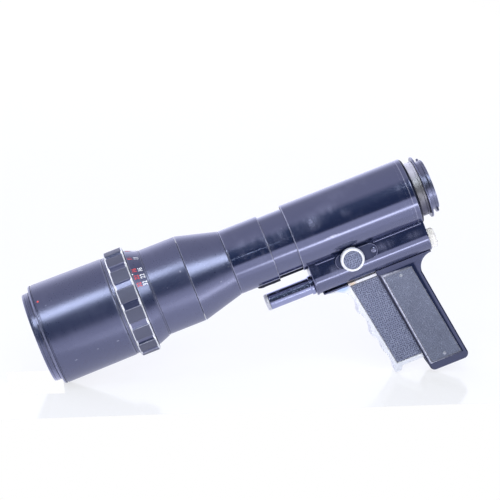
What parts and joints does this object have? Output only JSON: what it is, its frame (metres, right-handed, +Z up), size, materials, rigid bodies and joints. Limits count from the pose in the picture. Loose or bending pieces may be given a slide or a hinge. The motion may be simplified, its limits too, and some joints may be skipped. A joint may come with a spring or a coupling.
{
  "type": "squeeze-focus telephoto lens with pistol grip",
  "caption": "Long black telephoto lens on a pistol grip: squeezing the trigger slides the barrel to focus; telescoping hood, aperture ring, focus lock and rear bayonet.",
  "frame": {"origin": "centre of the camera flange's seating face, on the optical axis", "axes": "+X along the optical axis towards the camera body, +Y towards the holder's right, +Z up and away from the grip"},
  "size_m": [0.3783, 0.0984, 0.2117],
  "materials": {
    "black_paint": "gloss",
    "black_anodised": "satin",
    "inner_black": "matte",
    "chrome": "polished",
    "cast_silver": "satin",
    "dark_steel": "gloss",
    "steel": "satin",
    "brass": "satin",
    "leather": "matte",
    "grip_plastic": "gloss",
    "glass": "polished"
  },
  "bodies": {
    "housing": {"housing_tube": "black_paint", "front_guide_bush": "brass", "rear_guide_bush": "brass", "rear_trim_ring": "black_paint", "mount_sleeve": "cast_silver", "bayonet_mount": "dark_steel", "lower_casting": "black_paint", "front_end_plate": "black_paint", "bottom_plate": "black_anodised", "guide_tube": "dark_steel", "guide_tube_cap": "cast_silver", "escutcheon": "black_paint", "escutcheon_screw": "steel", "grip_shell": "grip_plastic", "grip_panel_left": "leather", "grip_panel_right": "leather", "panel_screw_left_upper": "steel", "panel_screw_left_lower": "steel", "panel_screw_right_upper": "steel", "panel_screw_right_lower": "steel", "tripod_bush": "steel"},
    "focus_carriage": {"front_bezel": "black_anodised", "lens_cell": "black_anodised", "objective_front": "glass", "objective_rear": "glass", "objective_retainer": "inner_black", "hood_stop_ring": "black_anodised", "scale_ring": "black_paint", "head_barrel": "black_paint", "iris_carrier": "inner_black", "cone_barrel": "black_paint", "focus_tube": "black_anodised", "light_baffle": "inner_black", "drive_rail": "black_anodised", "rail_screw_1": "steel", "rail_screw_2": "steel", "carriage": "steel", "guide_rod": "steel", "return_spring": "steel", "trigger": "cast_silver", "trigger_leather_left": "leather", "trigger_leather_right": "leather"},
    "hood": {"hood": "black_paint"},
    "aperture": {"aperture_ring": "black_anodised", "aperture_pin": "steel", "aperture_sleeve": "brass"},
    "blade_1": {"iris_blade_1": "inner_black"},
    "blade_2": {"iris_blade_2": "inner_black"},
    "blade_3": {"iris_blade_3": "inner_black"},
    "blade_4": {"iris_blade_4": "inner_black"},
    "blade_5": {"iris_blade_5": "inner_black"},
    "blade_6": {"iris_blade_6": "inner_black"},
    "lock_knob": {"lock_knob": "chrome", "lock_knob_leather": "leather", "lock_shaft": "steel"},
    "lock_shoe": {"lock_shoe": "brass"},
    "tension_knob": {"tension_knob": "chrome"},
    "tension_nut": {"tension_nut": "brass"}
  },
  "joints": [
    {"name": "focus_squeeze", "type": "slide", "parent": "housing", "child": "focus_carriage", "axis": [1, 0, 0], "range_m": [0, 0.021], "stiffness_N_per_m": 400, "springref_m": -0.02, "deforming": ["return_spring"]},
    {"name": "hood_extend", "type": "slide", "parent": "focus_carriage", "child": "hood", "axis": [-1, 0, 0], "range_m": [0, 0.05]},
    {"name": "aperture_turn", "type": "hinge", "parent": "focus_carriage", "child": "aperture", "pos_m": [-0.28145, 0, 0], "axis": [1, 0, 0], "range_deg": [0, 60]},
    {"name": "blade_1_swing", "type": "hinge", "parent": "focus_carriage", "child": "blade_1", "pos_m": [-0.2596, 0.02995, 0], "axis": [1, 0, 0], "range_deg": [0, 40]},
    {"name": "blade_2_swing", "type": "hinge", "parent": "focus_carriage", "child": "blade_2", "pos_m": [-0.2586, 0.01498, 0.02594], "axis": [1, 0, 0], "range_deg": [0, 40]},
    {"name": "blade_3_swing", "type": "hinge", "parent": "focus_carriage", "child": "blade_3", "pos_m": [-0.2576, -0.01498, 0.02594], "axis": [1, 0, 0], "range_deg": [0, 40]},
    {"name": "blade_4_swing", "type": "hinge", "parent": "focus_carriage", "child": "blade_4", "pos_m": [-0.2566, -0.02995, 0], "axis": [1, 0, 0], "range_deg": [0, 40]},
    {"name": "blade_5_swing", "type": "hinge", "parent": "focus_carriage", "child": "blade_5", "pos_m": [-0.2556, -0.01498, -0.02594], "axis": [1, 0, 0], "range_deg": [0, 40]},
    {"name": "blade_6_swing", "type": "hinge", "parent": "focus_carriage", "child": "blade_6", "pos_m": [-0.2546, 0.01498, -0.02594], "axis": [1, 0, 0], "range_deg": [0, 40]},
    {"name": "lock_turn", "type": "hinge", "parent": "housing", "child": "lock_knob", "pos_m": [-0.084, -0.0262, -0.032], "axis": [0, 1, 0], "range_deg": [0, 90]},
    {"name": "lock_press", "type": "slide", "parent": "housing", "child": "lock_shoe", "axis": [0, 1, 0], "range_m": [0, 0.0005]},
    {"name": "tension_turn", "type": "hinge", "parent": "housing", "child": "tension_knob", "pos_m": [-0.008, 0, -0.0475], "axis": [1, 0, 0], "range_deg": [0, 360]},
    {"name": "tension_travel", "type": "slide", "parent": "housing", "child": "tension_nut", "axis": [-1, 0, 0], "range_m": [0, 0.001]}
  ],
  "couplings": [
    {"joint": "blade_1_swing", "follows": "aperture_turn", "ratio": 0.66},
    {"joint": "blade_2_swing", "follows": "aperture_turn", "ratio": 0.66},
    {"joint": "blade_3_swing", "follows": "aperture_turn", "ratio": 0.66},
    {"joint": "blade_4_swing", "follows": "aperture_turn", "ratio": 0.66},
    {"joint": "blade_5_swing", "follows": "aperture_turn", "ratio": 0.66},
    {"joint": "blade_6_swing", "follows": "aperture_turn", "ratio": 0.66},
    {"joint": "lock_press", "follows": "lock_turn", "m_per_rad": 0.000318},
    {"joint": "tension_travel", "follows": "tension_turn", "m_per_rad": 0.000159}
  ]
}
